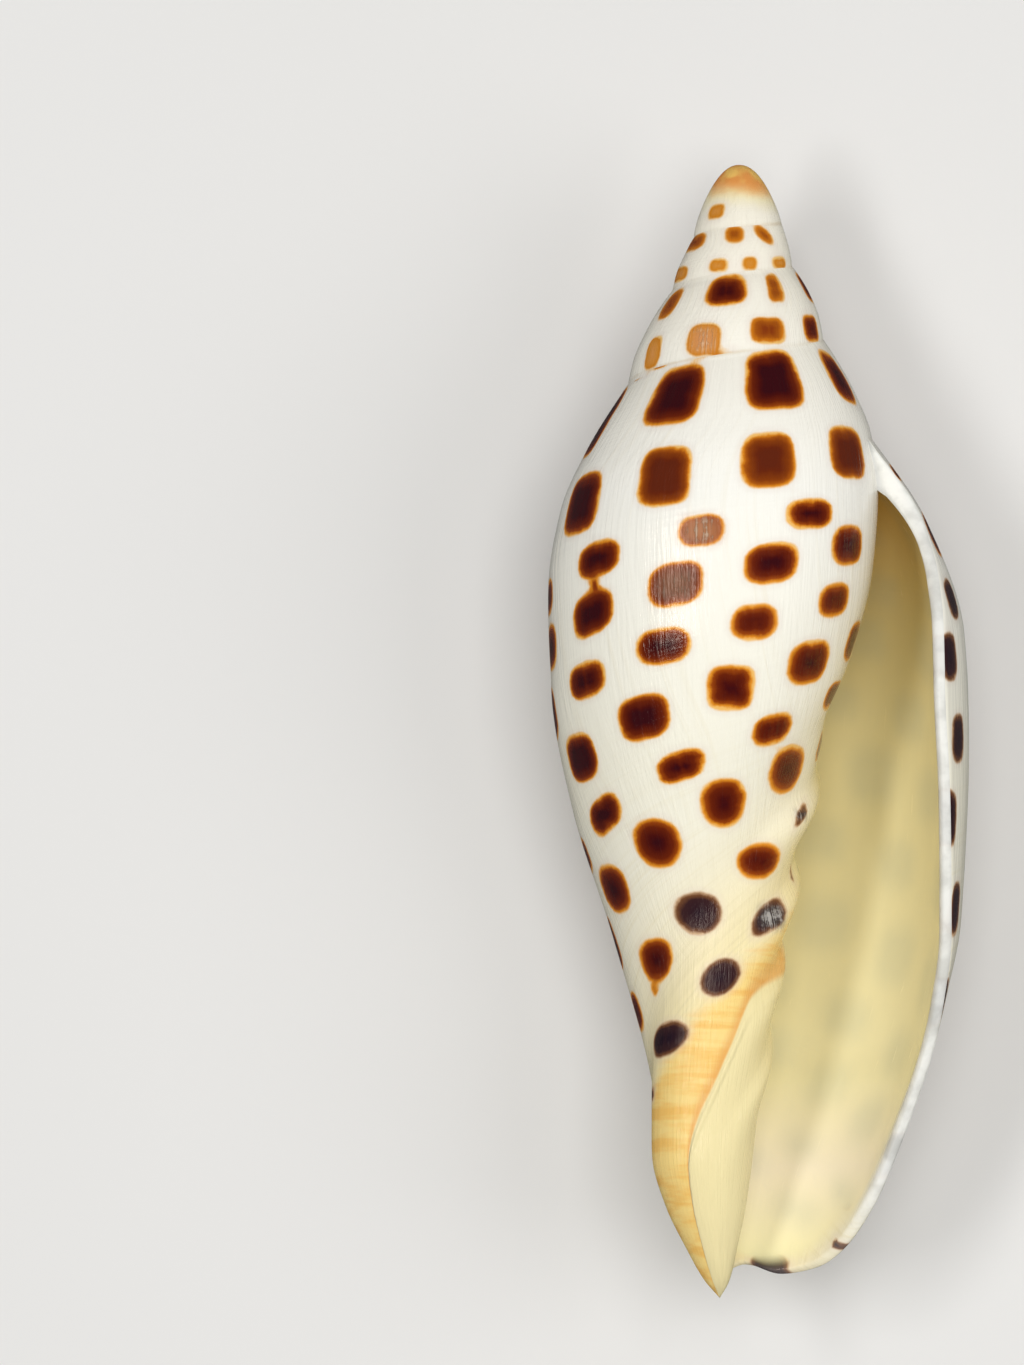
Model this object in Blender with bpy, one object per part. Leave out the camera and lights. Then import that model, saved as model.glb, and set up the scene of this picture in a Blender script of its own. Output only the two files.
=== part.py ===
"""A spotted volute shell, 108 mm long, lying on its back with its opening upwards.

The shell is one closed solid. Its surfaces are worked out in the shell's own chart: `turn`, the angle
around the coiling axis in degrees, unwrapped so that it keeps falling from the lip back to the apex,
and `down`, the distance below the apex along the axis. Each whorl is the next one made smaller by the
growth ratio, about a point just above the apex. Sizes are in metres.

Facing the opening, with the apex at the top, +X is to the right, +Y points to the apex and +Z to the eye.
Turn 0 is on the right, -90 at the back, -180 on the left and -270 at the front.
"""

import bmesh
import bpy
import numpy as np

MM = 0.001

LENGTH = 108.0 * MM
GROWTH = 1.66
POLE_ABOVE_APEX = 2.2 * MM

WALL_AT_LIP = 1.25 * MM
WALL_INSIDE = 1.8 * MM
LEAST_CAVITY = 0.5 * MM
LIP_BULGE = 0.45 * MM
CAVITY_TURN = 290.0

SUTURE_BELOW_POLE = 31.8 * MM
SUTURE_RISE_AT_LIP = 0.105
SUTURE_BLEND = 1.5 * MM

NOTCH_TURN = -100.0
NOTCH_DOWN = 106.4 * MM
NOTCH_STEP = 3.2 * MM

SPIRE_LEAN = 0.08
SPIRE_LEAN_REACH = 9.7 * MM
# The rounded first whorls: radius at one millimetre below the apex, and the power it grows by.
CAP_RADIUS = 1.82 * MM
CAP_POWER = 0.475
CAP_FROM = 4.0 * MM
CAP_TO = 12.0 * MM

FLAT_DEPTH = 0.3 * MM
REST_ROLL = 0.0
REST_PITCH = -3.0

# Distance below the apex and radius of a whorl at the lip's size: the older part, and the last half turn.
OLD_WHORL = [
    (16.2, 5.4), (29.0, 13.7), (37.9, 19.0), (45.0, 21.9), (54.0, 23.2),
    (66.5, 22.5), (80.8, 19.1), (95.1, 13.0), (109.5, 7.4), (135.0, 1.1),
]
LAST_WHORL = [
    (16.2, 5.4), (26.2, 13.0), (34.5, 18.7), (45.6, 22.6), (62.3, 23.5),
    (73.4, 23.5), (80.0, 22.7), (86.4, 21.6), (97.2, 18.8), (106.1, 14.8), (111.2, 12.3), (121.0, 8.2),
    (135.0, 2.2),
]
# Distance below the apex and radius of the pillar, and how far its middle lies to the left of the axis.
PILLAR = [
    (32.4, 0.0), (44.0, 6.0), (50.0, 8.4), (54.0, 8.9), (57.5, 8.3), (60.0, 7.6), (63.0, 7.1), (66.0, 6.5),
    (73.5, 5.9), (81.0, 5.5), (86.8, 5.3), (90.7, 5.0), (94.5, 4.8), (99.4, 3.8), (103.1, 2.5),
    (106.4, 1.15), (108.0, 0.0),
]
PILLAR_OFFSET = [
    (48.6, 0.0), (64.8, 0.4), (75.6, 0.9), (86.4, 1.5), (90.7, 1.8), (95.0, 1.9), (99.4, 1.5), (102.6, 1.0),
    (108.0, 0.0),
]
# The lip's edge leaves the last suture at this turn. Below it: share of the way to the notch, turn, distance down.
LIP_TURN = 20.0
LIP_EDGE = [
    (0.05, 14.0, 31.6), (0.10, 19.5, 37.3), (0.14, 26.0, 41.7), (0.18, 29.5, 46.2), (0.22, 30.3, 50.7),
    (0.31, 27.5, 60.7), (0.37, 24.5, 67.4), (0.43, 20.5, 74.1), (0.52, 10.0, 84.0), (0.60, 4.0, 91.5),
    (0.66, 0.0, 97.4), (0.73, -9.0, 102.0), (0.79, -22.0, 104.3), (0.85, -42.0, 105.0),
    (0.91, -62.0, 104.2), (0.96, -80.0, 105.2), (1.00, -100.0, 106.4),
]
# Folds of the pillar: distance down where each passes the right side, and its height. Each rises over a
# short way on its upper side and falls over a longer one below.
FOLDS = [(60.3, 1.25), (69.0, 1.25), (76.6, 0.85), (85.0, 0.6)]
FOLD_RISE = 1.6 * MM
FOLD_FALL = 3.2 * MM
FOLD_FADES_FROM = -345.0
FOLD_FADES_TO = -315.0

COLUMNS = 48
SPIRE_ROWS = 4
LIP_STEPS = 2
PARIETAL_ROWS = 20
TIP_ROWS = 3
WELD = 0.002 * MM

# Shares of the lip's edge that the wall's thickness takes up at its top, where it grips the whorl
# before it, and at its bottom, on the pillar.
GRIP_AT_TOP = 0.045
GRIP_AT_NOTCH = 0.015
# Rows of the last whorl: where each band ends at the lip, and what it meets on the seam one turn before.
BAND_ENDS = (0.10, 0.14, 0.85, 0.985, 1.0)
SEAM_ENDS = (0.0, GRIP_AT_TOP, 0.60, 1 - GRIP_AT_NOTCH, 1.0)


def curve_through(points, column=1):
    """A smooth function through the points that never overshoots them, and goes on straight past its ends."""
    at = np.array([point[0] for point in points], float)
    value = np.array([point[column] for point in points], float)
    width = np.diff(at)
    slope = np.diff(value) / width
    tangent = np.concatenate([slope[:1], np.zeros(len(slope) - 1), slope[-1:]])
    same_way = slope[:-1] * slope[1:] > 0
    before, after = 2 * width[1:] + width[:-1], width[1:] + 2 * width[:-1]
    with np.errstate(divide="ignore", invalid="ignore"):
        mean = (before + after) / (before / slope[:-1] + after / slope[1:])
    tangent[1:-1] = np.where(same_way, mean, 0)

    def function(x):
        x = np.asarray(x, float)
        i = np.clip(np.searchsorted(at, x) - 1, 0, len(width) - 1)
        t = np.clip((x - at[i]) / width[i], 0, 1)
        inside = (
            (1 + 2 * t) * (1 - t) ** 2 * value[i]
            + t * (1 - t) ** 2 * width[i] * tangent[i]
            + t * t * (3 - 2 * t) * value[i + 1]
            + t * t * (t - 1) * width[i] * tangent[i + 1]
        )
        past = np.minimum(x - at[0], 0) * tangent[0] + np.maximum(x - at[-1], 0) * tangent[-1]
        return inside + past

    return function


def curve_in_mm(points):
    """The same, from points in millimetres, as a function of metres that gives metres."""
    function = curve_through(points)
    return lambda x: MM * function(np.asarray(x) / MM)


def ramp(x, start, end):
    """0 at start, 1 at end, with a smooth rise between."""
    t = np.clip((x - start) / (end - start), 0, 1)
    return t * t * (3 - 2 * t)


def larger_of(a, b, soft):
    """The larger of two lengths, rounded where they cross."""
    t = np.clip(0.5 + 0.5 * (a - b) / soft, 0, 1)
    return b + (a - b) * t + soft * t * (1 - t)


old_whorl = curve_in_mm(OLD_WHORL)
last_whorl = curve_in_mm(LAST_WHORL)
pillar_radius = curve_in_mm(PILLAR)
pillar_offset = curve_in_mm(PILLAR_OFFSET)


def size_at(age):
    """The whorl's size against the lip's, where age is the growth angle in degrees, 0 at the lip."""
    return GROWTH ** (age / 360)


def suture_down(age):
    """Distance below the apex of the line where a whorl meets the one before it."""
    rise = 1 - SUTURE_RISE_AT_LIP * np.exp(np.minimum(age, 0) / 126)
    return np.maximum(SUTURE_BELOW_POLE * size_at(age) * rise - POLE_ABOVE_APEX, 0)


lip_edge = [(0.0, LIP_TURN, float(suture_down(0)) / MM)] + LIP_EDGE
lip_turn = curve_through(lip_edge, 1)
lip_down_mm = curve_through(lip_edge, 2)


def lip_down(share):
    return MM * lip_down_mm(share)


def notch_track(turn):
    """Distance below the apex of the line that the notch's end has left around the pillar."""
    return (NOTCH_DOWN + POLE_ABOVE_APEX) * size_at(turn - NOTCH_TURN) - POLE_ABOVE_APEX


def whorl_radius(age, down):
    """Radius of the growing wall: one profile, at the whorl's size, that fills out over the last half turn."""
    size = size_at(age)
    at = (down + POLE_ABOVE_APEX) / size - POLE_ABOVE_APEX
    new = ramp(age, -230, 0)
    return size * ((1 - new) * old_whorl(at) + new * last_whorl(at))


def pillar_surface(turn, down):
    """Radius of the pillar, with folds that climb around it as the whorls do."""
    radius = np.where(down > PILLAR[0][0] * MM, pillar_radius(down), 0)
    level = (down + POLE_ABOVE_APEX) / size_at(turn + 360) - POLE_ABOVE_APEX
    shown = 1 - ramp(turn, FOLD_FADES_FROM, FOLD_FADES_TO)
    for at, height in FOLDS:
        below = level - at * MM
        width = np.where(below < 0, FOLD_RISE, FOLD_FALL)
        radius = radius + height * MM * shown * np.exp(-((below / width) ** 2))
    return radius


def outside_radius(turn, down):
    """Radius of the shell's outer face: the whorl, meeting the one before it at the suture, and the pillar."""
    age = turn - LIP_TURN
    suture = suture_down(age)
    before = whorl_radius(age - 360, suture)
    gap = before - whorl_radius(age, suture)
    radius = whorl_radius(age, down) + gap * np.exp(-np.maximum(down - suture, 0) / (SUTURE_BLEND * size_at(age)))
    cap = CAP_RADIUS * (np.maximum(down, 0) / MM) ** CAP_POWER
    radius = cap + (radius - cap) * ramp(down, CAP_FROM, CAP_TO)
    pillar = pillar_surface(turn, down)
    above_track = (notch_track(turn) - down) / size_at(turn - NOTCH_TURN)
    joined = larger_of(radius, pillar, 1.0 * MM)
    return np.where(down > PILLAR[0][0] * MM, pillar + (joined - pillar) * ramp(above_track, 0, NOTCH_STEP), radius)


def placed(turn, down, radius):
    """The chart's points in space, along three axes as the last dimension."""
    turn, down, radius = np.broadcast_arrays(np.radians(turn), down, radius)
    x = radius * np.cos(turn) - pillar_offset(down) * (down > PILLAR_OFFSET[0][0] * MM)
    lean = SPIRE_LEAN * np.exp(-down / SPIRE_LEAN_REACH)
    y = -down - lean * radius * np.cos(turn)
    return np.stack([x, y, radius * np.sin(turn)], axis=-1)


def spire():
    """The whorls that show above the last one: rows run down from a suture to the next, columns along it."""
    turns_shown = np.log(SUTURE_BELOW_POLE / POLE_ABOVE_APEX) / np.log(GROWTH) + 1
    steps = int(np.ceil(turns_shown * COLUMNS))
    age = -360 - 360 * np.arange(steps, -1, -1) / COLUMNS
    share = np.linspace(0, 1, SPIRE_ROWS + 1)[:, None]
    down = suture_down(age) * (1 - share) + suture_down(age + 360) * share
    turn = age + LIP_TURN + 0 * share
    return placed(turn, down, outside_radius(turn, down))


def band_rows():
    """Shares of the way down the last whorl's rows, at the lip and on the seam one turn before it."""
    counts = (SPIRE_ROWS, LIP_STEPS, PARIETAL_ROWS - 4, 4, LIP_STEPS)
    at_lip, on_seam = [0.0], [-1.0]
    lip_from, seam_from = 0.0, -1.0
    for count, lip_to, seam_to in zip(counts, BAND_ENDS, SEAM_ENDS):
        at_lip.extend(np.linspace(lip_from, lip_to, count + 1)[1:])
        on_seam.extend(np.linspace(seam_from, seam_to, count + 1)[1:])
        lip_from, seam_from = lip_to, seam_to
    return np.array(at_lip)[:, None], np.array(on_seam)[:, None]


def last_whorl_outside():
    """The last whorl and the bare side of the pillar: rows run from the suture down to the notch's level."""
    at_lip, on_seam = band_rows()
    u = np.linspace(0, 1, COLUMNS + 1)
    age = -360 * (1 - u)
    above = np.clip(-on_seam, 0, 1)
    seam_down = np.where(
        on_seam < 0,
        suture_down(-360) * above + suture_down(0) * (1 - above),
        lip_down(np.maximum(on_seam, 0)),
    )
    seam_turn = lip_turn(np.maximum(on_seam, 0))
    turn = age + (1 - u) * seam_turn + u * lip_turn(at_lip)
    down = (1 - u) * seam_down + u * lip_down(at_lip)
    down = down + (suture_down(age) - down[:1]) * (1 - at_lip) ** 3
    return placed(turn, down, outside_radius(turn, down))


def tip():
    """The pillar's end below the notch: rings that close on one point."""
    turn = NOTCH_TURN - 360 * (1 - np.linspace(0, 1, COLUMNS + 1))
    down = np.linspace(NOTCH_DOWN, LENGTH, TIP_ROWS + 1)[:, None] + 0 * turn
    return placed(turn + 0 * down, down, pillar_surface(turn, down) * (down < LENGTH - 1e-9))


def cavity_chart(share, age):
    """Turn and distance down of the cavity's wall, which is the lip's edge carried back as the shell grew."""
    top, top_now = suture_down(age), suture_down(0)
    bottom = (NOTCH_DOWN + POLE_ABOVE_APEX) * size_at(age) - POLE_ABOVE_APEX
    fall = (lip_down(share) - top_now) / (NOTCH_DOWN - top_now)
    return age + lip_turn(share), top + (bottom - top) * fall


def cavity_radii(share, age):
    """Turn, distance down, and the radii of the cavity's inner side and of its outer side."""
    turn, down = cavity_chart(share, age)
    outside = outside_radius(turn, down)
    wall = WALL_AT_LIP + (WALL_INSIDE - WALL_AT_LIP) * ramp(-age, 0, 90)
    wall = wall * (1 - 0.35 * ramp(share, 0.85, 1.0))
    inner = outside_radius(turn - 360, down)
    inner = inner - ramp(-age, 0, 25) * np.maximum(inner + wall + LEAST_CAVITY - outside, 0)
    from_end = np.minimum((share - GRIP_AT_TOP) / 0.05, (1 - GRIP_AT_NOTCH - share) / 0.03)
    opened = np.sqrt(1 - (1 - np.clip(from_end, 0, 1)) ** 2)
    outer = inner + np.maximum(outside - wall - inner, LEAST_CAVITY) * opened
    return turn, down, inner, outer


def cavity_ages():
    steps = int(round(CAVITY_TURN / 360 * COLUMNS))
    return -CAVITY_TURN * np.arange(steps + 1) / steps


def cavity_outer_side():
    """The inner face of the last whorl's wall: columns run from the lip inwards."""
    at_lip, _ = band_rows()
    share = GRIP_AT_TOP + (1 - GRIP_AT_TOP - GRIP_AT_NOTCH) * at_lip
    turn, down, _, outer = cavity_radii(share, cavity_ages())
    return placed(turn, down, outer)


def cavity_inner_side():
    """The whorl before it and the pillar, as the cavity's other side."""
    _, on_seam = band_rows()
    share = on_seam[SPIRE_ROWS + LIP_STEPS : -LIP_STEPS]
    turn, down, inner, _ = cavity_radii(share, cavity_ages())
    return placed(turn, down, inner)


def lip_face():
    """The lip's rounded edge: rows run down the lip, columns from its outer edge to its inner one."""
    at_lip, _ = band_rows()
    step = np.linspace(0, 1, LIP_STEPS + 1)
    inner_share = GRIP_AT_TOP + (1 - GRIP_AT_TOP - GRIP_AT_NOTCH) * at_lip
    share = at_lip * (1 - step) + inner_share * step
    edge_radius = outside_radius(lip_turn(at_lip), lip_down(at_lip))
    inner_radius = cavity_radii(inner_share, np.zeros(1))[3]
    radius = edge_radius * (1 - step) + inner_radius * step
    bulge = LIP_BULGE * np.sin(np.pi * step) * np.sin(np.pi * at_lip) ** 0.5
    under = ramp(at_lip, 0.6, 0.75)
    turn = lip_turn(share) + np.degrees((1 - under) * bulge / np.maximum(radius, 5 * MM))
    down = lip_down(share) + under * bulge
    ends = (at_lip == 0) | (at_lip == 1)
    radius = np.where(ends, outside_radius(lip_turn(share) - 360, down), radius)
    return placed(turn, down, radius)


def grid_faces(number):
    """Quads between the points of a grid, from the grid of their numbers."""
    corners = (number[:-1, :-1], number[1:, :-1], number[1:, 1:], number[:-1, 1:])
    return np.stack(corners, axis=-1).reshape(-1, 4).tolist()


def zipped(near, far):
    """Triangles between two rows of point numbers of unlike length, both running the same way."""
    faces = []
    i = j = 0
    while i < len(near) - 1 or j < len(far) - 1:
        if j == len(far) - 1 or (i < len(near) - 1 and (i + 1) * (len(far) - 1) <= (j + 1) * (len(near) - 1)):
            faces.append((near[i], near[i + 1], far[j]))
            i += 1
        else:
            faces.append((near[i], far[j + 1], far[j]))
            j += 1
    return faces


def resting(points):
    """The points turned as the shell settles on its back, set down on z = 0 and centred over the origin."""
    roll, pitch = np.radians(REST_ROLL), np.radians(REST_PITCH)
    about_y = np.array([[np.cos(roll), 0, np.sin(roll)], [0, 1, 0], [-np.sin(roll), 0, np.cos(roll)]])
    about_x = np.array([[1, 0, 0], [0, np.cos(pitch), -np.sin(pitch)], [0, np.sin(pitch), np.cos(pitch)]])
    points = points @ (about_x @ about_y).T
    lowest = points[:, 2].min() + FLAT_DEPTH
    points[:, 2] = np.maximum(points[:, 2], lowest) - lowest
    points[:, :2] -= (points[:, :2].min(axis=0) + points[:, :2].max(axis=0)) / 2
    return points


def shell_mesh():
    """All the surfaces as one closed mesh, welded where they share an edge, with the cavity's far end closed."""
    sheets = [spire(), last_whorl_outside(), tip(), lip_face(), cavity_outer_side(), cavity_inner_side()]
    points, faces, last_columns = [], [], []
    first = 0
    for sheet in sheets:
        number = first + np.arange(sheet[..., 0].size).reshape(sheet.shape[:2])
        faces += grid_faces(number)
        points.append(sheet.reshape(-1, 3))
        last_columns.append(number[:, -1].tolist())
        first += number.size
    faces += zipped(*last_columns[-2:])

    mesh = bpy.data.meshes.new("shell")
    mesh.from_pydata(resting(np.concatenate(points)).tolist(), [], faces)
    welded = bmesh.new()
    welded.from_mesh(mesh)
    bmesh.ops.remove_doubles(welded, verts=welded.verts, dist=WELD)
    bmesh.ops.triangulate(welded, faces=welded.faces)
    bmesh.ops.dissolve_degenerate(welded, dist=WELD, edges=welded.edges)
    bmesh.ops.recalc_face_normals(welded, faces=welded.faces)
    if welded.calc_volume(signed=True) < 0:
        bmesh.ops.reverse_faces(welded, faces=welded.faces)
    welded.to_mesh(mesh)
    welded.free()
    return mesh


def porcelain():
    """The shell's glossy cream ground."""
    material = bpy.data.materials.new("porcelain_cream")
    material.use_nodes = True
    surface = material.node_tree.nodes["Principled BSDF"]
    surface.inputs["Base Color"].default_value = (0.86, 0.80, 0.66, 1)
    surface.inputs["Roughness"].default_value = 0.25
    surface.inputs["Metallic"].default_value = 0.0
    return material


for thing in list(bpy.data.objects):
    bpy.data.objects.remove(thing)

shell = bpy.data.objects.new("shell", shell_mesh())
bpy.context.scene.collection.objects.link(shell)
shell.data.materials.append(porcelain())
shell.data.shade_smooth()
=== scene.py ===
# %% [markdown]
# # A spotted volute shell
#
# The shell grew as one wall of lime that coils about an axis, so it is one piece here too. This script
# makes that piece as a fine grid, paints its spots, and sets it on a pale floor under soft light.
#
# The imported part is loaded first. It fixes the shell's size and place, and the fine piece made here
# stands in its place.

from types import SimpleNamespace

import bmesh
import bpy
import numpy as np
from mathutils import Matrix


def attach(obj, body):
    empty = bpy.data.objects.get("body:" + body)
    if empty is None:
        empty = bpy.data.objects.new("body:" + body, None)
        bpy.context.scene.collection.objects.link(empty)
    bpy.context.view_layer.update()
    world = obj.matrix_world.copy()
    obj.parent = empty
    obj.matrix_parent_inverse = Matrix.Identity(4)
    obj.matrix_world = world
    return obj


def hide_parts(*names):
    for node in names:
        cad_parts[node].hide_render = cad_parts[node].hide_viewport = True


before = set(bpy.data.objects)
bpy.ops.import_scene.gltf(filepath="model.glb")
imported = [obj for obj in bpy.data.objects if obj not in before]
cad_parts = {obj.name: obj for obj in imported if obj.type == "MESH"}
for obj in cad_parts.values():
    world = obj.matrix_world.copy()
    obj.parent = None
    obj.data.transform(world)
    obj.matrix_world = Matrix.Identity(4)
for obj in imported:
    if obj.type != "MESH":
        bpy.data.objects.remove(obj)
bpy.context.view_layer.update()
MM = 0.001

# %% [markdown]
# ## Curves through points
#
# Whorl, pillar and lip are drawn as smooth curves through a few points. A cubic between each pair of
# points, with tangents that never overshoot them, keeps a bulge from ringing on into the next stretch.

# %% Smooth curves and blends


def curve_through(points, column=1):
    """A smooth function through the points: a cubic per stretch, its slopes the weighted harmonic mean of
    the two stretches beside each point, and straight on past both ends."""
    at = np.array([point[0] for point in points], float)
    value = np.array([point[column] for point in points], float)
    width = np.diff(at)
    slope = np.diff(value) / width
    tangent = np.concatenate([slope[:1], np.zeros(len(slope) - 1), slope[-1:]])
    same_way = slope[:-1] * slope[1:] > 0
    before, after = 2 * width[1:] + width[:-1], width[1:] + 2 * width[:-1]
    with np.errstate(divide="ignore", invalid="ignore"):
        mean = (before + after) / (before / slope[:-1] + after / slope[1:])
    tangent[1:-1] = np.where(same_way, mean, 0)

    def function(x):
        """The stretch's cubic at x, or a straight line past the ends."""
        x = np.asarray(x, float)
        i = np.clip(np.searchsorted(at, x) - 1, 0, len(width) - 1)
        t = np.clip((x - at[i]) / width[i], 0, 1)
        inside = (
            (1 + 2 * t) * (1 - t) ** 2 * value[i]
            + t * (1 - t) ** 2 * width[i] * tangent[i]
            + t * t * (3 - 2 * t) * value[i + 1]
            + t * t * (t - 1) * width[i] * tangent[i + 1]
        )
        past = np.minimum(x - at[0], 0) * tangent[0] + np.maximum(x - at[-1], 0) * tangent[-1]
        return inside + past

    return function


def curve_in_mm(points):
    """The same, from points in millimetres, as a function of metres that gives metres."""
    function = curve_through(points)
    return lambda x: MM * function(np.asarray(x) / MM)


def ramp(x, start, end):
    """0 at start, 1 at end, rising as 3t^2 - 2t^3 between."""
    t = np.clip((x - start) / (end - start), 0, 1)
    return t * t * (3 - 2 * t)


def larger_of(a, b, soft):
    """The larger of two lengths, rounded where they cross."""
    t = np.clip(0.5 + 0.5 * (a - b) / soft, 0, 1)
    return b + (a - b) * t + soft * t * (1 - t)


print("a ramp at quarters:", ramp(np.linspace(0, 1, 5), 0, 1).round(2))

# %% [markdown]
# ## How the shell grows
#
# A whorl is the next one made smaller by one growth ratio, about a pole just above the apex. Every point
# of the wall is named by two numbers: `turn`, the angle around the axis, which keeps falling from the lip
# back to the apex, and `down`, the distance below the apex. The same chart carries the wall's radius, the
# spots and the growth lines, so they all follow the coil.

# %% Growth
LENGTH = 108.0 * MM
GROWTH = 1.66
POLE_ABOVE_APEX = 2.2 * MM
SUTURE_BELOW_POLE = 31.8 * MM
SUTURE_RISE_AT_LIP = 0.105
SUTURE_RISE_REACH = 126.0
SUTURE_DIP = 0.8 * MM  # how much lower than the growth rule the third suture lies
DIP_AGE, DIP_REACH = -1010.0, 330.0
DIP_FADES_ABOVE = 2 * MM
LIP_TURN = 20.0
NOTCH_TURN = -100.0
NOTCH_DOWN = 106.4 * MM


def size_at(age):
    """The whorl's size against the lip's: the growth ratio to the power of age in turns, 0 at the lip."""
    return GROWTH ** (age / 360)


def suture_down(age):
    """Distance below the apex of the line where a whorl meets the one before it. It climbs near the lip and
    dips on the spire, by a bell curve of the age."""
    rise = 1 - SUTURE_RISE_AT_LIP * np.exp(np.minimum(age, 0) / SUTURE_RISE_REACH)
    dip = SUTURE_DIP * np.exp(-(((age - DIP_AGE) / DIP_REACH) ** 2))
    regular = SUTURE_BELOW_POLE * size_at(age) * rise - POLE_ABOVE_APEX
    return np.maximum(regular + dip * np.clip(regular / DIP_FADES_ABOVE, 0, 1), 0)


def notch_track(turn):
    """Distance below the apex of the line that the notch's end has left around the pillar."""
    return (NOTCH_DOWN + POLE_ABOVE_APEX) * size_at(turn - NOTCH_TURN) - POLE_ABOVE_APEX


right_sutures = [round(float(suture_down(-360 * turns)) / MM, 1) for turns in range(5)]
print("sutures on the right side at", right_sutures, "mm down")

# %% [markdown]
# ## Whorl, pillar and lip
#
# The whorl's outline fills out over the last 230 degrees, as it does on a grown shell. The pillar carries
# four folds that climb around it, each steep above and slack below. The lip's edge is a wavy line from the
# last suture to the notch at the lower end.
#
# Such outlines could be sculpted, but a few points and a smooth curve give them just as well, and each
# point can be checked against the real shell.

# %% The outlines
# Distance below the apex and radius, at the lip's size, of an older whorl and of the last one at the lip.
OLD_WHORL = [
    (16.2, 5.4), (29, 13.7), (37.9, 19), (45, 21.9), (54, 23.2), (66.5, 22.5), (80.8, 19.1), (95.1, 13),
    (109.5, 7.4), (135, 1.1),
]
LAST_WHORL = [
    (16.2, 5.4), (26.2, 13), (34.5, 18.7), (45.6, 22.6), (62.3, 23.5), (73.4, 23.5), (80, 22.7),
    (86.4, 21.6), (97.2, 18.8), (106.1, 14.8), (111.2, 12.3), (121, 8.2), (135, 2.2),
]
# Distance below the apex and radius of the pillar, and how far its middle lies to the left of the axis.
PILLAR = [
    (32.4, 0), (44, 6), (50, 8.4), (54, 8.9), (57.5, 8.3), (60, 7.6), (63, 7.1), (66, 6.5), (73.5, 5.9),
    (81, 5.5), (86.8, 5.3), (90.7, 5), (94.5, 4.8), (99.4, 3.8), (103.1, 2.5), (106.4, 1.15), (108, 0),
]
PILLAR_OFFSET = [
    (48.6, 0), (64.8, 0.4), (75.6, 0.9), (86.4, 1.5), (90.7, 1.8), (95, 1.9), (99.4, 1.5), (102.6, 1),
    (108, 0),
]
# The lip's edge: share of the way to the notch, turn, distance below the apex.
LIP_EDGE = [
    (0, LIP_TURN, float(suture_down(0)) / MM), (0.05, 14, 31.6), (0.1, 19.5, 37.3), (0.14, 26, 41.7),
    (0.18, 29.5, 46.2), (0.22, 30.3, 50.7), (0.31, 27.5, 60.7), (0.37, 24.5, 67.4), (0.43, 20.5, 74.1),
    (0.52, 10, 84), (0.6, 4, 91.5), (0.66, 0, 97.4), (0.73, -9, 102), (0.79, -22, 104.3),
    (0.85, -42, 105), (0.91, -62, 104.2), (0.96, -80, 105.2), (1, -100, 106.4),
]
# Shares of the way between which the notch arches up.
ARCH = (0.79, 0.965)
# Folds of the pillar: distance down where each passes the right side, and its height in mm.
FOLDS = [(60.3, 1.25), (69, 1.25), (76.6, 0.85), (85, 0.6)]
FOLD_RISE = 1.6 * MM
FOLD_FALL = 3.2 * MM

old_whorl = curve_in_mm(OLD_WHORL)
last_whorl = curve_in_mm(LAST_WHORL)
pillar_radius = curve_in_mm(PILLAR)
pillar_offset = curve_in_mm(PILLAR_OFFSET)
lip_turn = curve_through(LIP_EDGE, 1)
lip_down_mm = curve_through(LIP_EDGE, 2)


def lip_down(share):
    """Distance below the apex of the lip's edge, at this share of the way to the notch."""
    return MM * lip_down_mm(share)


def seam_line(share):
    """The lip's line where the next turn covers it: the notch's arch is bridged by a straight stretch."""
    start, end = ARCH
    straight = lip_down(start) + (lip_down(end) - lip_down(start)) * (share - start) / (end - start)
    return np.where((share > start) & (share < end), straight, lip_down(share))


print("the notch arches up by", round(float(seam_line(0.91) - lip_down(0.91)) / MM, 1), "mm")

# %% [markdown]
# ## The wall's radius
#
# Three things meet in one formula: the whorl, a shallow step at the suture where it grips the whorl before
# it, and the pillar, which takes over below the notch's track. Made apart and joined, they would leave
# creases, and one formula leaves none.

# %% The wall's radius and its place in space
FILLS_OUT_OVER = 230.0
FOLDS_FADE = (-335.0, -280.0)
SUTURE_BLEND = 1.5 * MM
PILLAR_BLEND = 1.0 * MM
NOTCH_STEP = 3.2 * MM
CAP_RADIUS = 1.82 * MM
CAP_POWER = 0.475
CAP_ENDS = (4.0 * MM, 12.0 * MM)
SPIRE_LEAN = 0.08
SPIRE_LEAN_REACH = 9.7 * MM


def whorl_radius(age, down):
    """The outline at the whorl's size, which changes from the older one to the last one near the lip."""
    size = size_at(age)
    at = (down + POLE_ABOVE_APEX) / size - POLE_ABOVE_APEX
    new = ramp(age, -FILLS_OUT_OVER, 0)
    return size * ((1 - new) * old_whorl(at) + new * last_whorl(at))


def pillar_surface(turn, down):
    """The pillar's outline plus each fold, a bell curve of its distance from the fold's crest."""
    radius = np.where(down > PILLAR[0][0] * MM, pillar_radius(down), 0)
    level = (down + POLE_ABOVE_APEX) / size_at(turn + 360) - POLE_ABOVE_APEX
    shown = 1 - ramp(turn, *FOLDS_FADE)
    for at, height in FOLDS:
        below = level - at * MM
        width = np.where(below < 0, FOLD_RISE, FOLD_FALL)
        radius = radius + height * MM * shown * np.exp(-((below / width) ** 2))
    return radius


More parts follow.
